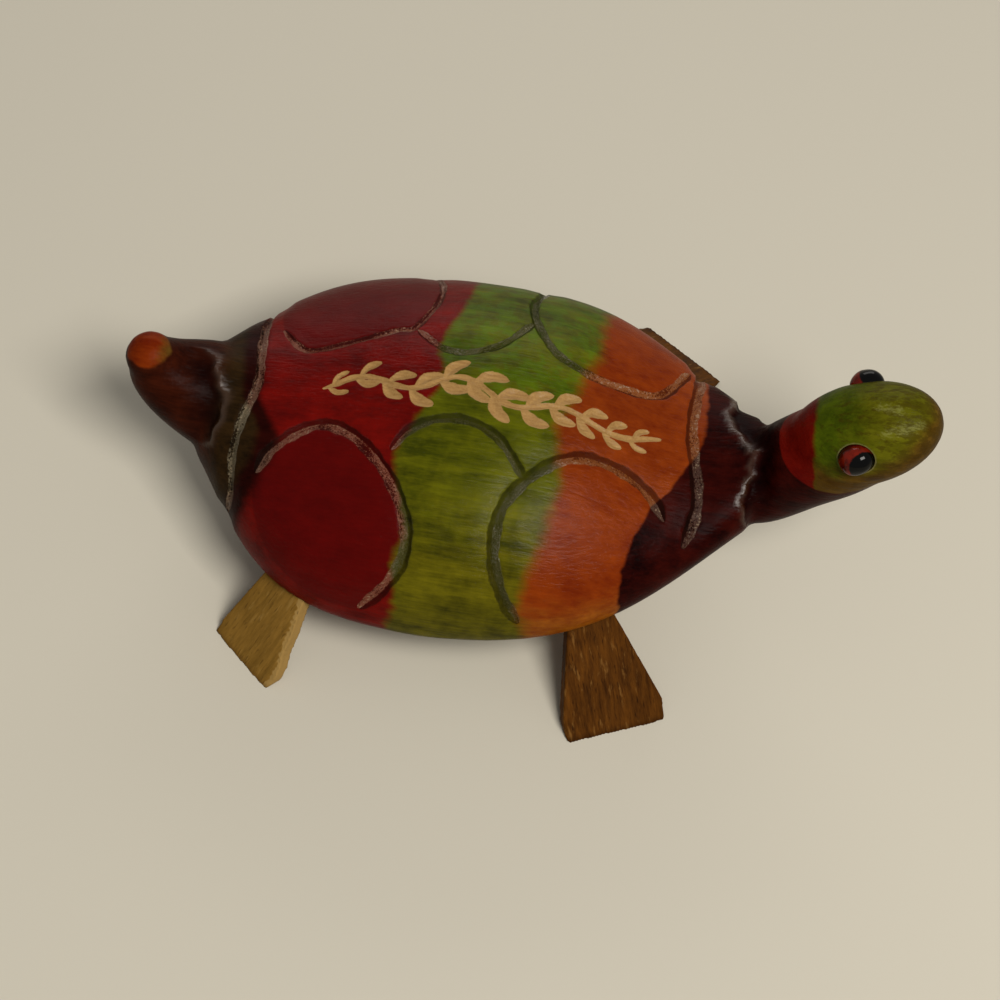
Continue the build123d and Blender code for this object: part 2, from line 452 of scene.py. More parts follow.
def near_line(places, line, normals):
    """Distance from a line, signed distance to its side, and length along it, for each place."""
    squares = (places ** 2).sum(1)[:, None] - 2 * places @ line.T + (line ** 2).sum(1)[None, :]
    nearest = squares.argmin(1)
    tangent = unit(np.gradient(line, axis=0))
    offset = places - line[nearest]
    ahead = (offset * tangent[nearest]).sum(1)
    past_end = ((nearest == 0) & (ahead < 0)) | ((nearest == len(line) - 1) & (ahead > 0))
    across = np.cross(normals, tangent)[nearest]
    side = (offset * across).sum(1)
    distance = np.where(past_end, np.hypot(side, ahead), np.abs(side))
    depth = (offset * normals[nearest]).sum(1)
    distance = np.where(np.abs(depth) > line_reach_mm, out_of_reach_mm, distance)
    return distance, side, along(line)[nearest] + np.where(past_end, 0, ahead)


def close_cad_cuts(mesh):
    """Levels the plain cuts of the CAD block with the wood round them, to be carved anew."""
    tree = tree_of(mesh)
    places = points_of(mesh) / MM
    near = np.zeros(len(places), dtype=bool)
    for values in carved_lines.values():
        line = laid(tree, values[0])[0]
        inside = in_box(places, line, cad_cut_reach_mm)
        squares = ((places[inside][:, None, :] - line[None, ::2, :]) ** 2).sum(2)
        near[inside] |= squares.min(1) < cad_cut_reach_mm ** 2
    relax(mesh, cad_cut_closing, near, 0.0)


class Cut:
    """One gouge cut: its line, half its width and its depth along it, and how its walls lean."""

    def __init__(self, tree, points, half_width, depth, dark_side, blunt=groove_blunt_mm, lean=groove_lean):
        self.line, self.normals = laid(tree, points)
        self.half_width = half_width
        self.depth = depth
        self.dark_side = dark_side
        self.blunt = blunt
        self.lean = lean

    def measure(self, places):
        """Places near the cut: share of its half width, the same to the leaning side, length, end share."""
        inside = in_box(places, self.line, self.half_width + cut_margin_mm)
        distance, side, length = near_line(places[inside], self.line, self.normals)
        total = along(self.line)[-1]
        ends = np.clip(np.minimum(length, total - length) / self.blunt, 0, 1)
        wander = 1.0
        for size, pace, start in wander_waves:
            wander = wander + size * np.sin(length * pace + start * total)
        width = self.half_width * np.sqrt(ends * (2 - ends)) * wander + 1e-6
        return inside, distance / width, side * self.dark_side / width, length, ends

    def gouge(self, places):
        """Measures of a groove, and its depth, which is greatest at the leaning share of its width."""
        inside, share, lateral, length, ends = self.measure(places)
        dark_wall = (1 - lateral) / (1 - self.lean)
        light_wall = (1 + lateral) / (1 + self.lean)
        wall = np.where(lateral > self.lean, dark_wall, light_wall)
        fall = np.clip(np.where(share > np.abs(lateral) + 1e-4, 1 - share, wall), 0, 1) ** groove_hollow
        return inside, np.minimum(share, far_off), lateral, length, fall * self.depth * ends ** 0.5

    def scoop(self, places):
        """A broad cut that falls slowly and rises steeply: its share across, and its depth from 0 to 1."""
        inside, share, lateral, _, ends = self.measure(places)
        gentle = np.clip((1 + lateral) / (1 + self.lean), 0, 1)
        steep = np.clip((1 - lateral) / (1 - self.lean), 0, 1)
        fall = np.where(lateral > self.lean, np.sin(steep * math.pi / 2), gentle ** 2 * (3 - 2 * gentle))
        return inside, lateral, ends * fall * (share < 1), ends


def vine_cuts(tree):
    """The stem and leaves of the ornament."""
    line, normals = laid(tree, vine_pixels)
    length = along(line)
    tangent = unit(np.gradient(line, axis=0))
    across = np.cross(normals, tangent)
    total = length[-1]
    calm = np.clip(np.minimum(length, total - length) / vine_calm_mm, 0, 1)
    sway = vine_wave_mm * calm * np.sin(length * 2 * math.pi / vine_wave_length_mm)
    stem = line + across * sway[:, None]
    cuts = [Cut(tree, stem[::10], vine_half_width_mm, vine_depth_mm, 1, vine_blunt_mm, 0.0)]
    pairs = int((total - leaf_last_mm) / leaf_pitch_mm)
    for pair in range(pairs):
        size = 1.0 - leaf_shrink * abs(2 * pair / (pairs - 1) - 1) ** 2
        half_width = leaf_half_width_mm * size
        for side in (1, -1):
            root = leaf_first_mm + pair * leaf_pitch_mm + side * leaf_stagger_mm
            place = int(np.searchsorted(length, root))
            points = []
            for step in (0.0, 0.5, 1.0):
                turn = leaf_angle + leaf_bend * step
                reach = leaf_start_mm + leaf_length_mm * size * step
                heading = tangent[place] * math.cos(turn) + across[place] * side * math.sin(turn)
                points.append(stem[place] + heading * reach)
            cuts.append(Cut(tree, points, half_width, leaf_depth_mm, side, leaf_length_mm * 0.5, 0.0))
    return cuts


def refine(mesh, cuts, reach_mm):
    """Halves the edges near the cuts."""
    bm = bmesh.new()
    bm.from_mesh(mesh)
    bm.edges.ensure_lookup_table()
    middles = points_of(mesh)[edges_of(mesh)].mean(1) / MM
    chosen = np.zeros(len(middles), dtype=bool)
    for cut in cuts:
        inside = in_box(middles, cut.line, reach_mm + cut.half_width)
        distance = near_line(middles[inside], cut.line, cut.normals)[0]
        widest = reach_mm * cut.half_width / (cut.half_width + fine_fall_mm)
        chosen[inside] |= distance < max(widest, cut.half_width + fine_margin_mm)
    edges = [bm.edges[int(index)] for index in np.nonzero(chosen)[0]]
    bmesh.ops.subdivide_edges(bm, edges=edges, cuts=1, use_grid_fill=True)
    return to_mesh(bm, "refined")


def put(mesh, name, values):
    """Keeps a number or a place for each point, for the material to read."""
    kind, field = ("FLOAT_VECTOR", "vector") if np.ndim(values) == 2 else ("FLOAT", "value")
    attribute = mesh.attributes.new(name, kind, "POINT")
    attribute.data.foreach_set(field, np.asarray(values, dtype=np.float32).ravel())


def around(places):
    """Angle of each place round the shell: 0 at the left rim, 90 at the spine, 180 at the right rim."""
    middle = np.interp(places[:, 0], core_stations_mm, core_heights_mm)
    return np.degrees(np.arctan2(places[:, 2] - middle, places[:, 1]))


def edge_distance(tree, places, points):
    """How far each place lies beyond a stain's edge, towards the head."""
    marks = np.array([np.array(on_wood(tree, point)) / MM for point in points])
    angles = around(marks)
    order = np.argsort(angles)
    return places[:, 0] - np.interp(around(places), angles[order], marks[order, 0], period=360)


def inside_line(places, line):
    """How far each place lies inside the loop that a line closes, seen square to the wood."""
    middle = line.mean(0)
    out = np.linalg.svd(line - middle)[2]
    flat_line = (line - middle) @ out[:2].T
    flat = (places - middle) @ out[:2].T
    angles = np.arctan2(flat_line[:, 1], flat_line[:, 0])
    order = np.argsort(angles)
    radii = lengths(flat_line)[order]
    reach = np.interp(np.arctan2(flat[:, 1], flat[:, 0]), angles[order], radii, period=2 * math.pi)
    off_plane = np.abs((places - middle) @ out[2])
    return np.where(off_plane < scale_reach_mm, reach - lengths(flat), -far_off)


def build_body():
    """The carved and stained block."""
    mesh = remeshed(filled_block(), body_voxel)
    close_cad_cuts(mesh)
    relax(mesh, body_smoothing)
    tree = tree_of(mesh)
    grooves = {name: Cut(tree, *values[:4]) for name, values in carved_lines.items()}
    vine = vine_cuts(tree)
    broad = [Cut(tree, *values, notch_fade_mm, ridge_share) for values in notches.values()]
    mesh = cut_inserts(mesh)
    every_cut = list(grooves.values()) + vine + broad
    for reach_mm in fine_reaches_mm:
        mesh = refine(mesh, every_cut, reach_mm)

    places = points_of(mesh) / MM
    near_cut = np.zeros(len(places), dtype=bool)
    for cut in every_cut:
        inside, share = cut.measure(places)[:2]
        near_cut[inside] |= share < cut_calm_share
    relax(mesh, cut_smoothing, near_cut)
    places = points_of(mesh) / MM
    normals = normals_of(mesh)

    depth, lean, wall, notch, ridge = np.zeros((5, len(places)))
    groove, bare, worn, socket = np.full((4, len(places)), far_off)
    groove_place = np.zeros((len(places), 3))
    for number, (name, cut) in enumerate(grooves.items()):
        inside, share, lateral, length, fall = cut.gouge(places)
        closer = share < groove[inside]
        near = inside[closer]
        groove[near] = share[closer]
        lean[near] = lateral[closer]
        # How much painted shade the steep wall of this line gets.
        wall[near] = carved_lines[name][4]
        stride = np.full(len(inside), groove_stride_mm * number)
        groove_place[near] = np.column_stack((length, lateral * cut.half_width, stride))[closer]
        depth[inside] = np.maximum(depth[inside], fall)
    for cut in vine:
        inside, share, _, _, fall = cut.gouge(places)
        bare[inside] = np.minimum(bare[inside], share)
        depth[inside] = np.maximum(depth[inside], fall)
    for cut in broad:
        inside, lateral, fall, ends = cut.scoop(places)
        depth[inside] = np.maximum(depth[inside], fall * cut.depth)
        notch[inside] = np.maximum(notch[inside], fall)
        crest = np.exp(-((lateral - ridge_place) / ridge_width) ** 2)
        ridge[inside] = np.maximum(ridge[inside], crest * ends)

    for name, points in stain_edges.items():
        put(mesh, name, edge_distance(tree, places, points))
    put(mesh, "groove", groove)
    put(mesh, "lean", np.clip(lean, -2, 2))
    put(mesh, "wall", wall)
    put(mesh, "groove_place", groove_place)
    put(mesh, "notch", notch)
    put(mesh, "ridge", ridge)
    put(mesh, "bare", bare)
    for scale in ("tail", "middle", "neck"):
        left = inside_line(places, grooves[f"left_{scale}_scale"].line)
        right = inside_line(places, grooves[f"right_{scale}_scale"].line)
        put(mesh, scale + "_scale", np.maximum(left, right))

    from_head = places - paint_middle_mm
    ahead = from_head @ paint_forward
    above = from_head @ paint_up
    put(mesh, "head_paint", above - np.interp(ahead, throat_ahead_mm, throat_above_mm))
    put(mesh, "head_green", ahead + head_green_start_mm - head_green_slope * above)
    put(mesh, "head_ahead", ahead)
    marks = np.vstack([laid(tree, points)[0][::2] for points in wear_and_highlight_marks])
    near_marks = np.nonzero(ahead > crown_start_mm)[0]
    worn[near_marks] = lengths(places[near_marks][:, None, :] - marks[None]).min(1)
    put(mesh, "worn", np.minimum(worn, far_off))
    above_cap = (places - tail_tip_mm) @ tail_cap_up - tail_cap_rise_mm
    put(mesh, "tail_cap", np.where(places[:, 0] < tail_cap_limit_mm, above_cap, -far_off))

    near_head = np.nonzero(ahead > face_start_mm)[0]
    for name in seed_frames:
        seed = tree_of(nodes[name].data)
        reach = [seed.find_nearest(Vector(places[index]) * MM)[3] / MM for index in near_head]
        socket[near_head] = np.minimum(socket[near_head], reach)
    put(mesh, "socket", np.minimum(socket, far_off))

    set_points(mesh, (places - normals * depth[:, None]) * MM)
    relax(mesh, notch_smoothing, np.maximum(notch, ridge) > 0.02)
    mesh.name = "carved_body_dressed"
    mesh.shade_smooth()
    bm = bmesh.new()
    bm.from_mesh(mesh)
    for edge in bm.edges:
        if edge.calc_face_angle(0) > sharp_angle:
            off_cuts = (min(groove[v.index], bare[v.index]) > off_cut_share for v in edge.verts)
            edge.smooth = not all(off_cuts)
    bm.to_mesh(mesh)
    bm.free()
    return link("turtle_body", mesh)


def leg_axes(side, splay, turn):
    """Unit vectors along a slat's foot, up the slat and out of its outer face."""
    lean = math.radians(splay)
    heading = math.radians(turn)
    foot = np.array((math.cos(heading), side * -math.sin(heading), 0.0))
    outward = np.array((math.sin(heading), side * math.cos(heading), 0.0))
    rise = np.array((0.0, 0.0, 1.0))
    up_slat = rise * math.cos(lean) - outward * math.sin(lean)
    return foot, up_slat, outward * math.cos(lean) + rise * math.sin(lean)


def rough(places, scales, shift):
    """Smooth noise from -1 to 1 at each place, stretched by a scale for each axis."""
    return np.array([noise.noise(Vector(place)) for place in places * np.array(scales) + shift])


def build_leg(name, side, splay, turn, split, heel_wear, shift):
    """A sawn slat with softened edges, raised grain and, where split is set, a broken front edge."""
    mesh = remeshed(to_mesh(welded(name), name), leg_voxel)
    relax(mesh, leg_smoothing)
    axes = np.array(leg_axes(side, splay, turn))
    places = points_of(mesh) / MM
    middle = (places.min(0) + places.max(0)) / 2
    local = (places - middle) @ axes.T
    low_end = places[:, 2] < corner_reach_mm
    ends = np.array((local[low_end, 0].min(), local[low_end, 0].max()))
    near_heel = local[:, 0] - ends[0] < corner_reach_mm * heel_wear
    near_end = near_heel | (ends[1] - local[:, 0] < corner_reach_mm)
    relax(mesh, corner_rounding, low_end & near_end, 0.0)

    places = points_of(mesh) / MM
    normals = normals_of(mesh)
    local = (places - middle) @ axes.T
    facing = normals @ axes.T
    grain = rough(local, leg_grain_scales, shift) + 0.5 * rough(local, leg_fine_scales, shift)
    sink = leg_relief_mm * np.clip(grain + 0.2, 0, 1)
    level = np.round(local[:, 1]).astype(int)
    level -= level.min()
    front = np.full(level.max() + 1, -99.0)
    np.maximum.at(front, level, local[:, 0])
    inset = front[level] - local[:, 0]
    chip = np.zeros(len(places))
    if split > 0:
        long_waves = rough(local, (0.0, 0.45, 0.0), shift + 3)
        short_waves = rough(local, (0.0, 1.6, 0.0), shift)
        reach = split * (1 + 0.45 * long_waves + 0.3 * short_waves)
        chip = np.clip((reach - inset) / split_slope_mm, 0, 1) * (facing[:, 2] > -0.3)
        rag = 0.6 + 0.5 * rough(local, (0.9, 0.5, 0.9), shift + 5)
        sink += chip * split_depth_mm * np.clip(rag, 0.15, 1) * (facing[:, 2] > 0.4)
        side_wear = np.clip(0.5 + rough(local, (0.0, 0.28, 0.0), shift + 9), 0, 1)
        near_side = np.clip(1 - inset / side_wear_reach_mm, 0, 1)
        places -= axes[0] * (side_wear_mm * side_wear * near_side)[:, None]
    places -= normals * sink[:, None]
    places[:, 2] = np.maximum(places[:, 2], 0)
    set_points(mesh, places * MM)
    put(mesh, "grain_place", local + shift)
    put(mesh, "chip", chip)
    put(mesh, "height", places[:, 2])
    mesh.shade_smooth()
    return link(name + "_slat", mesh)


def build_seed(name, side, spot_direction):
    """A polished seed: a grid of rings round its length, slimmer to one end and faintly dented."""
    corners = np.array([list(corner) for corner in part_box(name)]) / MM
    middle = corners.mean(0)
    forward = np.array((math.cos(seed_tilt), 0.0, math.sin(seed_tilt)))
    head_up = np.array((-math.sin(seed_tilt), 0.0, math.cos(seed_tilt)))
    outward = np.array((0.0, side * math.cos(seed_lift), 0.0)) + head_up * math.sin(seed_lift)
    across = np.cross(outward, forward)
    bm = bmesh.new()
    rings = []
    for ring in range(1, seed_rings):
        turn = math.pi * ring / seed_rings
        radius = seed_radius_mm * math.sin(turn) * (1 - seed_taper * (1 + math.cos(turn)) / 2)
        centre = middle + forward * seed_half_length_mm * math.cos(turn)
        row = []
        for step in range(seed_segments):
            angle = 2 * math.pi * step / seed_segments
            place = centre + (outward * math.cos(angle) + across * math.sin(angle)) * radius
            row.append(bm.verts.new(place * MM))
        rings.append(row)
    for row, after in zip(rings, rings[1:]):
        for step in range(seed_segments):
            following = (step + 1) % seed_segments
            bm.faces.new((row[step], row[following], after[following], after[step]))
    for row, end in ((rings[0], 1), (rings[-1], -1)):
        tip = bm.verts.new((middle + forward * seed_half_length_mm * end) * MM)
        for step in range(seed_segments):
            bm.faces.new((row[(step + 1) % seed_segments], row[step], tip))
    bmesh.ops.recalc_face_normals(bm, faces=bm.faces)
    mesh = to_mesh(bm, name)
    places = points_of(mesh) / MM
    dents = np.clip(0.4 + rough(places - middle, seed_dent_scales, side * 2.0), 0, 1)
    set_points(mesh, (places - normals_of(mesh) * (seed_dent_mm * dents)[:, None]) * MM)
    spot = np.array(spot_direction)
    turned = unit(places - middle) @ (spot / np.linalg.norm(spot))
    put(mesh, "spot", np.degrees(np.arccos(np.clip(turned, -1, 1))))
    mesh.shade_smooth()
    return link(name + "_polished", mesh)


body = build_body()
legs = {name: build_leg(name, *values) for name, values in leg_frames.items()}
seeds = {name: build_seed(name, *values) for name, values in seed_frames.items()}


# Materials.
def srgb(red, green, blue):
    """A colour given as screen values from 0 to 255, for a shader."""
    linear = [((v / 255 + 0.055) / 1.055) ** 2.4 if v > 10 else v / 255 / 12.92 for v in (red, green, blue)]
    return (*linear, 1.0)


class Shader:
    """A material's node tree, with short ways to add nodes."""

    def __init__(self, name):
        self.material = bpy.data.materials.new(name)
        self.material.use_nodes = True
        self.tree = self.material.node_tree

    def node(self, kind, *inputs, **settings):
        """A node with its inputs in order; None leaves an input as it is."""
        made = self.tree.nodes.new("ShaderNode" + kind)
        for key, value in settings.items():
            setattr(made, key, value)
        for place, value in enumerate(inputs):
            if value is not None:
                self.feed(made.inputs[place], value)
        return made

    def feed(self, socket, value):
        """Links a node's output, or sets a plain value."""
        if isinstance(value, bpy.types.NodeSocket):
            self.tree.links.new(value, socket)
        else:
            socket.default_value = value

    def math(self, operation, a, b=0.0, clamp=False):
        """A sum on two numbers."""
        return self.node("Math", a, b, operation=operation, use_clamp=clamp).outputs[0]

    def plus(self, a, b, clamp=False):
        """Two numbers added."""
        return self.math("ADD", a, b, clamp)

    def times(self, a, b):
        """Two numbers multiplied."""
        return self.math("MULTIPLY", a, b)

    def surface(self, name, value):
        """Links or sets an input of the surface."""
        self.feed(self.tree.nodes["Principled BSDF"].inputs[name], value)

    def ramp(self, value, low, high):
        """0 at low and 1 at high, smooth in between."""
        return self.node("MapRange", value, low, high, interpolation_type="SMOOTHSTEP").outputs[0]

    def mix(self, factor, a, b):
        """One colour turning into another."""
        made = self.node("Mix", factor, data_type="RGBA")
        self.feed(made.inputs[6], a)
        self.feed(made.inputs[7], b)
        return made.outputs[2]

    def kept(self, name, output="Fac"):
        """A number or a place kept with the mesh."""
        return self.node("Attribute", attribute_name=name).outputs[output]

    def scaled(self, vector, scale):
        """A place multiplied by a scale for each axis."""
        return self.node("VectorMath", vector, scale, operation="MULTIPLY").outputs[0]

    def noise(self, vector, scale, detail=3.0, roughness=0.5):
        """Noise from 0 to 1."""
        return self.node("TexNoise", vector, None, scale, detail, roughness).outputs[0]

    def about(self, noise, strength):
        """Noise as a number about zero."""
        return self.times(self.math("SUBTRACT", noise, 0.5), strength)

    def bump(self, height, distance, strength, normal=None):
        """Small relief."""
        made = self.node("Bump")
        made.inputs["Strength"].default_value = strength
        made.inputs["Distance"].default_value = distance
        self.feed(made.inputs["Height"], height)
        if normal is not None:
            self.feed(made.inputs["Normal"], normal)
        return made.outputs[0]


# The dark and the light of each stain.
stains = {
    "tail": ((20, 3, 2), (62, 22, 8)),
    "flare": ((18, 11, 4), (54, 36, 15)),
    "maroon": ((18, 2, 1), (44, 8, 4)),
    "red": ((72, 3, 1), (114, 8, 2)),
    "crimson": ((73, 1, 0), (90, 3, 1)),
    "green": ((50, 55, 1), (98, 101, 7)),
    "fresh_green": ((46, 60, 1), (88, 106, 8)),
    "low_green": ((44, 43, 1), (106, 98, 9)),
    "olive": ((53, 57, 1), (103, 104, 6)),
    "orange": ((100, 30, 1), (136, 56, 8)),
    "amber": ((102, 30, 1), (136, 54, 5)),
    "low_amber": ((112, 50, 3), (156, 92, 20)),
    "brown": ((14, 1, 1), (56, 10, 5)),
    "neck_red": ((76, 3, 2), (110, 18, 7)),
    "head_green": ((48, 60, 4), (84, 98, 9)),
    "head_olive": ((62, 61, 4), (102, 100, 15)),
    "jaw": ((60, 38, 3), (98, 72, 20)),
    "throat": ((24, 6, 3), (66, 24, 10)),
    "cap": ((92, 20, 3), (130, 50, 9)),
    "cap_fringe": ((66, 40, 12), (104, 74, 24)),
}

# Paint smears and wear, painted shade in cuts and hollows, a paler crest, painted glints and highlights,
# and bare wood.
painted_notch_shade = srgb(8, 1, 1)
groove_stain_and_shade = srgb(12, 8, 4)
paler_crest_colour = srgb(64, 40, 20)
head_smear = srgb(52, 38, 6)
head_wear_and_highlight = srgb(128, 128, 66)
painted_glint_colour = srgb(158, 134, 104)
socket_rim = srgb(128, 120, 78)
bare_dark = srgb(124, 88, 46)
bare_light = srgb(188, 150, 94)

# The slats: dark and light wood, streaks, pores (whose colour also paints the shadow along the sole) and
# split wood.
walnut_colours = ((50, 25, 3), (96, 56, 13), (122, 84, 38), (30, 12, 2), (120, 84, 40))
tan_colours = ((110, 80, 30), (140, 104, 44), (146, 114, 58), (84, 58, 22), (156, 124, 70))

# Gloss and relief.
body_specular = 0.012
varnish_coat = 0.11
dull_loss = 0.085
varnish_roughness = 0.11
facet_relief = 0.5 * MM
grain_relief = 0.10 * MM
varnish_relief = 0.14 * MM
slat_specular = 0.03
seed_specular = 0.02
seed_coat = 0.26
seed_coat_roughness = 0.05
seed_relief = 0.03 * MM

# Colour of the fibres torn up in the grooves, stain by stain.
scrapes = {
    "flare": srgb(98, 87, 66),
    "maroon": srgb(98, 66, 50),
    "red": srgb(118, 66, 48),
    "green": srgb(62, 60, 20),
    "orange": srgb(128, 70, 27),
    "brown": srgb(72, 44, 32),
}


def painted_wood():
    """Stain brushed on pale wood, worn through in the cuts, under varnish, with painted shade in the cuts
    and hollows and painted glints and highlights.
    """
    s = Shader("painted_wood")
    place = s.scaled(s.node("TexCoord").outputs["Object"], [1 / MM] * 3)
    stretched = s.scaled(place, (0.10, 1, 1))
    brushed = s.scaled(place, (0.45, 1, 1))
    grain = s.noise(stretched, 2.4, 5.0, 0.6)
    bands = s.noise(stretched, 0.55, 3.0, 0.55)
    mottle = s.noise(place, 0.13, 3.0, 0.55)
    specks = s.noise(place, 3.2, 2.0, 0.6)
    rag = s.noise(brushed, 0.6, 3.0, 0.5)
    broad_rag = s.noise(place, 0.16, 2.0, 0.5)

    blotch = s.noise(place, 0.42, 3.0, 0.6)
    tone = s.plus(0.45, s.about(bands, 1.1))
    tone = s.plus(tone, s.about(grain, 0.8))
    tone = s.plus(tone, s.about(blotch, 0.8))
    tone = s.plus(tone, s.about(mottle, 1.2), clamp=True)
    colours = {name: s.mix(tone, srgb(*dark), srgb(*light)) for name, (dark, light) in stains.items()}

    def edge(name, ragged, soft, shift=0.0):
        """Share beyond a stain's edge, ragged along the grain."""
        moved = s.plus(s.kept(name), s.about(rag, ragged * 0.6))
        moved = s.plus(moved, s.about(broad_rag, ragged))
        return s.ramp(moved, shift - soft, shift + soft)

    forward, across, height = s.node("SeparateXYZ", place).outputs[:3]
    right_side = s.math("MAXIMUM", s.ramp(across, 3.0, -3.0), s.ramp(height, 20.0, 11.0))
    scale_tail = s.ramp(s.kept("tail_scale"), -0.2, 0.4)
    scale_middle = s.ramp(s.kept("middle_scale"), -0.2, 0.4)
    red = s.mix(scale_tail, colours["red"], colours["crimson"])
    fresh = s.times(s.ramp(blotch, 0.42, 0.58), s.math("SUBTRACT", 1.0, right_side))
    green = s.mix(fresh, colours["green"], colours["fresh_green"])
    green = s.mix(s.times(scale_middle, right_side), green, colours["olive"])
    low_down = s.ramp(s.plus(height, s.about(rag, 8.0)), 38.0, 26.0)
    green = s.mix(s.times(low_down, right_side), green, colours["low_green"])
    scale_neck = s.ramp(s.kept("neck_scale"), -0.2, 0.4)
    orange = s.mix(scale_neck, colours["orange"], colours["amber"])
    lip = s.ramp(s.plus(height, s.about(rag, 6.0)), 25.0, 17.0)
    orange = s.mix(s.times(lip, right_side), orange, colours["low_amber"])

    def zones(flare, maroon, red, green, orange, brown):
        """One colour turning into the next at each stain's edge, from the tail to the neck."""
        blended = s.mix(maroon_share, flare, maroon)
        blended = s.mix(red_share, blended, red)
        blended = s.mix(green_share, blended, green)
        blended = s.mix(orange_share, blended, orange)
        return s.mix(brown_share, blended, brown)

    maroon_share = edge("red_edge", 1.5, 0.9, -3.0)
    red_share = edge("red_edge", 2.4, 1.1)
    green_share = edge("green_edge", 2.6, 0.8)
    orange_share = edge("orange_edge", 3.0, 1.6)
    brown_share = edge("brown_edge", 1.6, 0.4)
    colour = zones(colours["flare"], colours["maroon"], red, green, orange, colours["brown"])

    far_tail = s.ramp(forward, -47.0, -51.5)
    colour = s.mix(far_tail, colour, colours["tail"])
    to_fringe = s.plus(forward, s.about(broad_rag, 5.0))
    to_fringe = s.plus(to_fringe, s.about(rag, 3.0))
    cap = s.mix(s.ramp(to_fringe, -60.4, -57.0), colours["cap"], colours["cap_fringe"])
    colour = s.mix(edge("tail_cap", 1.6, 0.35), colour, cap)

    past_red = edge("head_green", 1.4, 0.5)
    head = s.mix(past_red, colours["neck_red"], colours["head_green"])
    to_nose = s.plus(s.kept("head_ahead"), s.about(rag, 8.0))
    olive_share = s.times(s.ramp(to_nose, -4.0, 5.0), s.ramp(s.kept("head_green"), 0, 1))
    head = s.mix(olive_share, head, colours["head_olive"])
    jaw_low = s.ramp(s.plus(s.kept("head_paint"), s.about(rag, 4.0)), 8.5, 4.0)
    head = s.mix(s.times(jaw_low, past_red), head, colours["jaw"])
    smears = s.noise(s.scaled(place, (0.4, 1.0, 0.8)), 1.0, 5.0, 0.7)
    smeared = s.plus(smears, s.times(s.kept("head_ahead"), 0.009))
    head = s.mix(s.times(s.ramp(smeared, 0.50, 0.64), 0.55), head, head_smear)
    # Pale marks on the crown: paint wear, and a painted highlight streak.
    scuffed_and_highlit = s.plus(s.kept("worn"), s.about(s.noise(brushed, 2.6, 4.0, 0.7), 4.4))
    head = s.mix(s.times(s.ramp(scuffed_and_highlit, 1.0, -0.4), 0.6), head, head_wear_and_highlight)
    colour = s.mix(s.ramp(s.kept("head_ahead"), -11.0, -7.0), colour, colours["throat"])
    colour = s.mix(edge("head_paint", 0.9, 0.3), colour, head)
    # Painted shade: darker in the hollow of each broad knife cut.
    colour = s.mix(s.times(s.kept("notch"), 0.75), colour, painted_notch_shade)
    # Paler along the crest of each broad knife cut.
    colour = s.mix(s.times(s.kept("ridge"), 0.5), colour, paler_crest_colour)

    # Grooves: painted shade on the steep wall on one side, darker stain in the cut, and torn fibres that
    # come and go along the other.
    along_groove = s.kept("groove_place", "Vector")
    fibres = s.noise(s.scaled(along_groove, (1.6, 7.0, 1.0)), 1.0, 4.0, 0.65)
    wear = s.noise(s.scaled(along_groove, (0.16, 0.6, 1.0)), 1.0, 2.0, 0.5)
    ragged_groove = s.plus(s.kept("groove"), s.about(fibres, 0.5))
    in_groove = s.ramp(ragged_groove, 1.05, 0.85)
    torn = zones(**scrapes)
    # Darker in the cut: stain pooled in it, and painted shade.
    sunk_stain_and_shade = s.mix(0.6, colour, groove_stain_and_shade)
    bright = s.plus(s.plus(fibres, s.about(specks, 0.9)), s.about(wear, 1.1))
    bright = s.plus(bright, s.times(s.math("SUBTRACT", 1.0, red_share), 0.1))
    leaning = s.plus(s.kept("lean"), s.about(fibres, 0.5))
    # Painted shade on the steep wall, as strong as the line's wall value.
    steep = s.times(s.ramp(leaning, 0.15, 0.6), s.kept("wall"))
    bright = s.math("SUBTRACT", bright, steep)
    colour = s.mix(in_groove, colour, s.mix(s.ramp(bright, 0.30, 0.58), sunk_stain_and_shade, torn))
    # Painted glints: pale flecks of light on the wet varnish in the grooves, fewer in the green.
    glint_pattern = s.plus(s.noise(place, 2.4, 2.0, 0.6), s.about(wear, 0.5))
    painted_glints = s.times(s.ramp(glint_pattern, 0.58, 0.72), s.ramp(bright, 0.40, 0.60))
    few = s.math("SUBTRACT", 0.6, s.times(s.math("SUBTRACT", green_share, orange_share), 0.45))
    painted_glints = s.times(painted_glints, s.times(in_groove, few))
    colour = s.mix(painted_glints, colour, painted_glint_colour)

    # Ornament in bare wood.
    rough_bare = s.plus(s.kept("bare"), s.about(specks, 0.3))
    in_bare = s.ramp(rough_bare, 1.05, 0.88)
    wood = s.mix(s.plus(grain, s.about(specks, 0.5)), bare_dark, bare_light)
    colour = s.mix(in_bare, colour, wood)

    # Cut edge of the wood round the eyes.
    rim = s.ramp(s.plus(s.kept("socket"), s.about(specks, 0.25)), 0.42, 0.2)
    colour = s.mix(s.times(rim, s.times(rag, 0.8)), colour, socket_rim)
    s.surface("Base Color", colour)

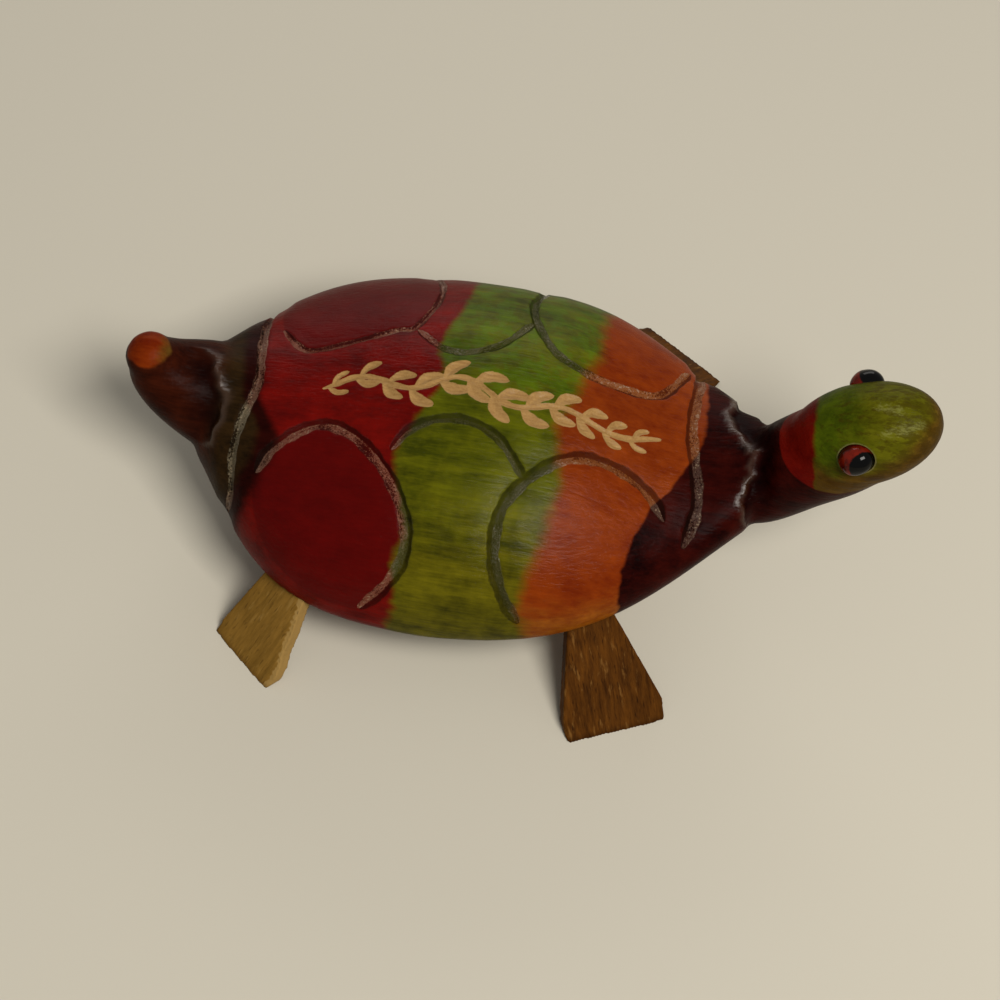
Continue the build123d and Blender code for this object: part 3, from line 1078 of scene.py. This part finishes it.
    worn = s.math("MAXIMUM", in_bare, s.times(in_groove, 0.6))
    roughness = s.plus(s.plus(0.36, s.about(grain, 0.25)), s.times(worn, 0.25))
    s.surface("Roughness", roughness)
    s.surface("Specular IOR Level", body_specular)
    wet = s.times(in_groove, s.ramp(bright, 0.35, 0.7))
    pooled = s.plus(s.times(wet, 0.7), s.times(s.kept("ridge"), 0.8))
    dull_end = s.math("MAXIMUM", brown_share, s.math("SUBTRACT", 1.0, red_share))
    dull_end = s.math("MAXIMUM", dull_end, s.kept("notch"))
    varnish = s.math("SUBTRACT", varnish_coat, s.times(dull_end, dull_loss))
    s.surface("Coat Weight", s.plus(pooled, varnish, clamp=True))
    s.surface("Coat Roughness", varnish_roughness)
    facets = s.noise(s.scaled(place, (0.5, 1, 1)), 0.30, 1.0, 0.5)
    on_head = s.ramp(s.kept("head_ahead"), -10.0, -6.0)
    facets = s.times(facets, s.plus(0.35, on_head))
    relief = s.plus(grain, s.times(specks, 0.35))
    shaped = s.bump(facets, facet_relief, 0.6)
    torn_relief = s.times(s.times(fibres, in_groove), 2.0)
    normal = s.bump(s.plus(relief, torn_relief), grain_relief, 0.8, shaped)
    s.surface("Normal", normal)
    scratches = s.noise(s.scaled(place, (0.22, 1, 1)), 2.0, 2.0, 0.5)
    coat_relief = s.plus(s.plus(grain, scratches), torn_relief)
    s.surface("Coat Normal", s.bump(coat_relief, varnish_relief, 0.9, shaped))
    return s.material


def slat_wood(name, colours):
    """Plain sawn wood with its grain up the slat."""
    s = Shader(name)
    dark, light, streak, pore_and_contact_shadow, split = (srgb(*colour) for colour in colours)
    place = s.kept("grain_place", "Vector")
    stretched = s.scaled(place, (1.0, 0.15, 1.0))
    fibres = s.noise(stretched, 1.2, 4.0, 0.6)
    fine = s.noise(stretched, 4.0, 3.0, 0.6)
    mottle = s.noise(place, 0.15, 3.0, 0.5)
    long_pores = s.noise(s.scaled(place, (2.6, 0.3, 2.6)), 1.5, 2.0, 0.5)
    tone = s.plus(0.45, s.about(fibres, 1.9))
    tone = s.plus(tone, s.about(fine, 0.9))
    tone = s.plus(tone, s.about(mottle, 0.9), clamp=True)
    colour = s.mix(tone, dark, light)
    light_streaks = s.ramp(s.noise(s.scaled(place, (1.0, 0.22, 1.0)), 1.05, 4.0, 0.65), 0.56, 0.70)
    colour = s.mix(s.times(light_streaks, 0.7), colour, streak)
    colour = s.mix(s.times(s.ramp(long_pores, 0.60, 0.72), 0.7), colour, pore_and_contact_shadow)
    rag = s.plus(s.kept("chip"), s.about(fine, 0.8))
    colour = s.mix(s.ramp(rag, 0.35, 0.75), colour, split)
    # Darker along the sole: a painted contact shadow, with darker end grain.
    colour = s.mix(s.times(s.ramp(s.kept("height"), 0.9, 0.1), 0.45), colour, pore_and_contact_shadow)
    s.surface("Base Color", colour)
    s.surface("Roughness", s.plus(0.55, s.about(fibres, 0.3)))
    s.surface("Specular IOR Level", slat_specular)
    relief = s.plus(fibres, s.times(fine, 0.5))
    s.surface("Normal", s.bump(relief, grain_relief, 0.6))
    return s.material


def seed_skin():
    """A hard glossy red seed with a black spot."""
    s = Shader("seed_skin")
    place = s.scaled(s.node("TexCoord").outputs["Object"], [1 / MM] * 3)
    cloud = s.noise(place, 0.55, 3.0, 0.55)
    rag = s.noise(place, 1.1, 3.0, 0.6)
    red = s.mix(s.ramp(cloud, 0.35, 0.65), srgb(58, 9, 4), srgb(112, 24, 8))
    angle = s.plus(s.kept("spot"), s.about(rag, 14.0))
    colour = s.mix(s.ramp(angle, 60.0, 53.0), red, srgb(2, 2, 2))
    s.surface("Base Color", colour)
    s.surface("Roughness", s.plus(0.16, s.about(cloud, 0.12)))
    s.surface("Specular IOR Level", seed_specular)
    s.surface("Coat Weight", seed_coat)
    s.surface("Coat Roughness", seed_coat_roughness)
    s.surface("Normal", s.bump(rag, seed_relief, 0.3))
    return s.material


def dress(piece, node, material):
    """Gives a piece its material, hangs it under the root body, and hides the CAD node that it stands for.
    """
    piece.data.materials.clear()
    piece.data.materials.append(material)
    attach(piece, "root")
    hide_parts(node)


walnut = slat_wood("dark_slat", walnut_colours)
tan_wood = slat_wood("pale_slat", tan_colours)
skin = seed_skin()
dress(body, "carved_body", painted_wood())
for name, leg in legs.items():
    material, slot = (walnut, "dark_wood") if "front" in name else (tan_wood, "pale_wood")
    dress(leg, name, material)
for name, seed in seeds.items():
    dress(seed, name, skin)


# Floor, lights and background. Each lamp has its direction, distance, width, height and watts.
floor_reach = 1.5
floor_level = -0.02 * MM
floor_colour = srgb(200, 194, 179)
lamp_colour = (1.0, 0.965, 0.90)
lamps = {
    "key_lamp": ((0.34, -0.37, 0.87), 0.8, 0.32, 0.28, 5.2),
    "back_lamp": ((-0.1, 0.92, 0.34), 1.2, 0.9, 0.5, 4.0),
}
room_colour = (1.0, 0.985, 0.95, 1.0)
room_light = 0.23
room_seen = 0.4


def build_floor():
    """A plain pale table top."""
    bm = bmesh.new()
    corners = ((-1, -1), (1, -1), (1, 1), (-1, 1))
    bm.faces.new([bm.verts.new((x * floor_reach, y * floor_reach, floor_level)) for x, y in corners])
    floor = link("floor", to_mesh(bm, "floor"))
    s = Shader("floor_paper")
    s.surface("Base Color", floor_colour)
    s.surface("Roughness", 0.8)
    floor.data.materials.append(s.material)


def lamp(name, direction, distance, width, height, watts):
    """A soft lamp that points at the object."""
    data = bpy.data.lights.new(name, "AREA")
    data.shape = "RECTANGLE"
    data.size = width
    data.size_y = height
    data.energy = watts
    data.color = lamp_colour
    made = link(name, data)
    away = Vector(direction).normalized()
    made.location = away * distance
    made.rotation_mode = "QUATERNION"
    made.rotation_quaternion = away.to_track_quat("Z", "Y")


build_floor()
for name, values in lamps.items():
    lamp(name, *values)

world = bpy.data.worlds.new("room")
scene.world = world
world.use_nodes = True
room = world.node_tree
sky = room.nodes["Background"]
sky.inputs["Color"].default_value = room_colour
rays = room.nodes.new("ShaderNodeLightPath")
seen = rays.outputs["Is Camera Ray"]
for kind in ("Is Glossy Ray", "Is Transmission Ray"):
    either = room.nodes.new("ShaderNodeMath")
    either.operation = "MAXIMUM"
    room.links.new(seen, either.inputs[0])
    room.links.new(rays.outputs[kind], either.inputs[1])
    seen = either.outputs[0]
level = room.nodes.new("ShaderNodeMapRange")
level.inputs["To Min"].default_value = room_light
level.inputs["To Max"].default_value = room_seen
room.links.new(seen, level.inputs["Value"])
room.links.new(level.outputs[0], sky.inputs["Strength"])
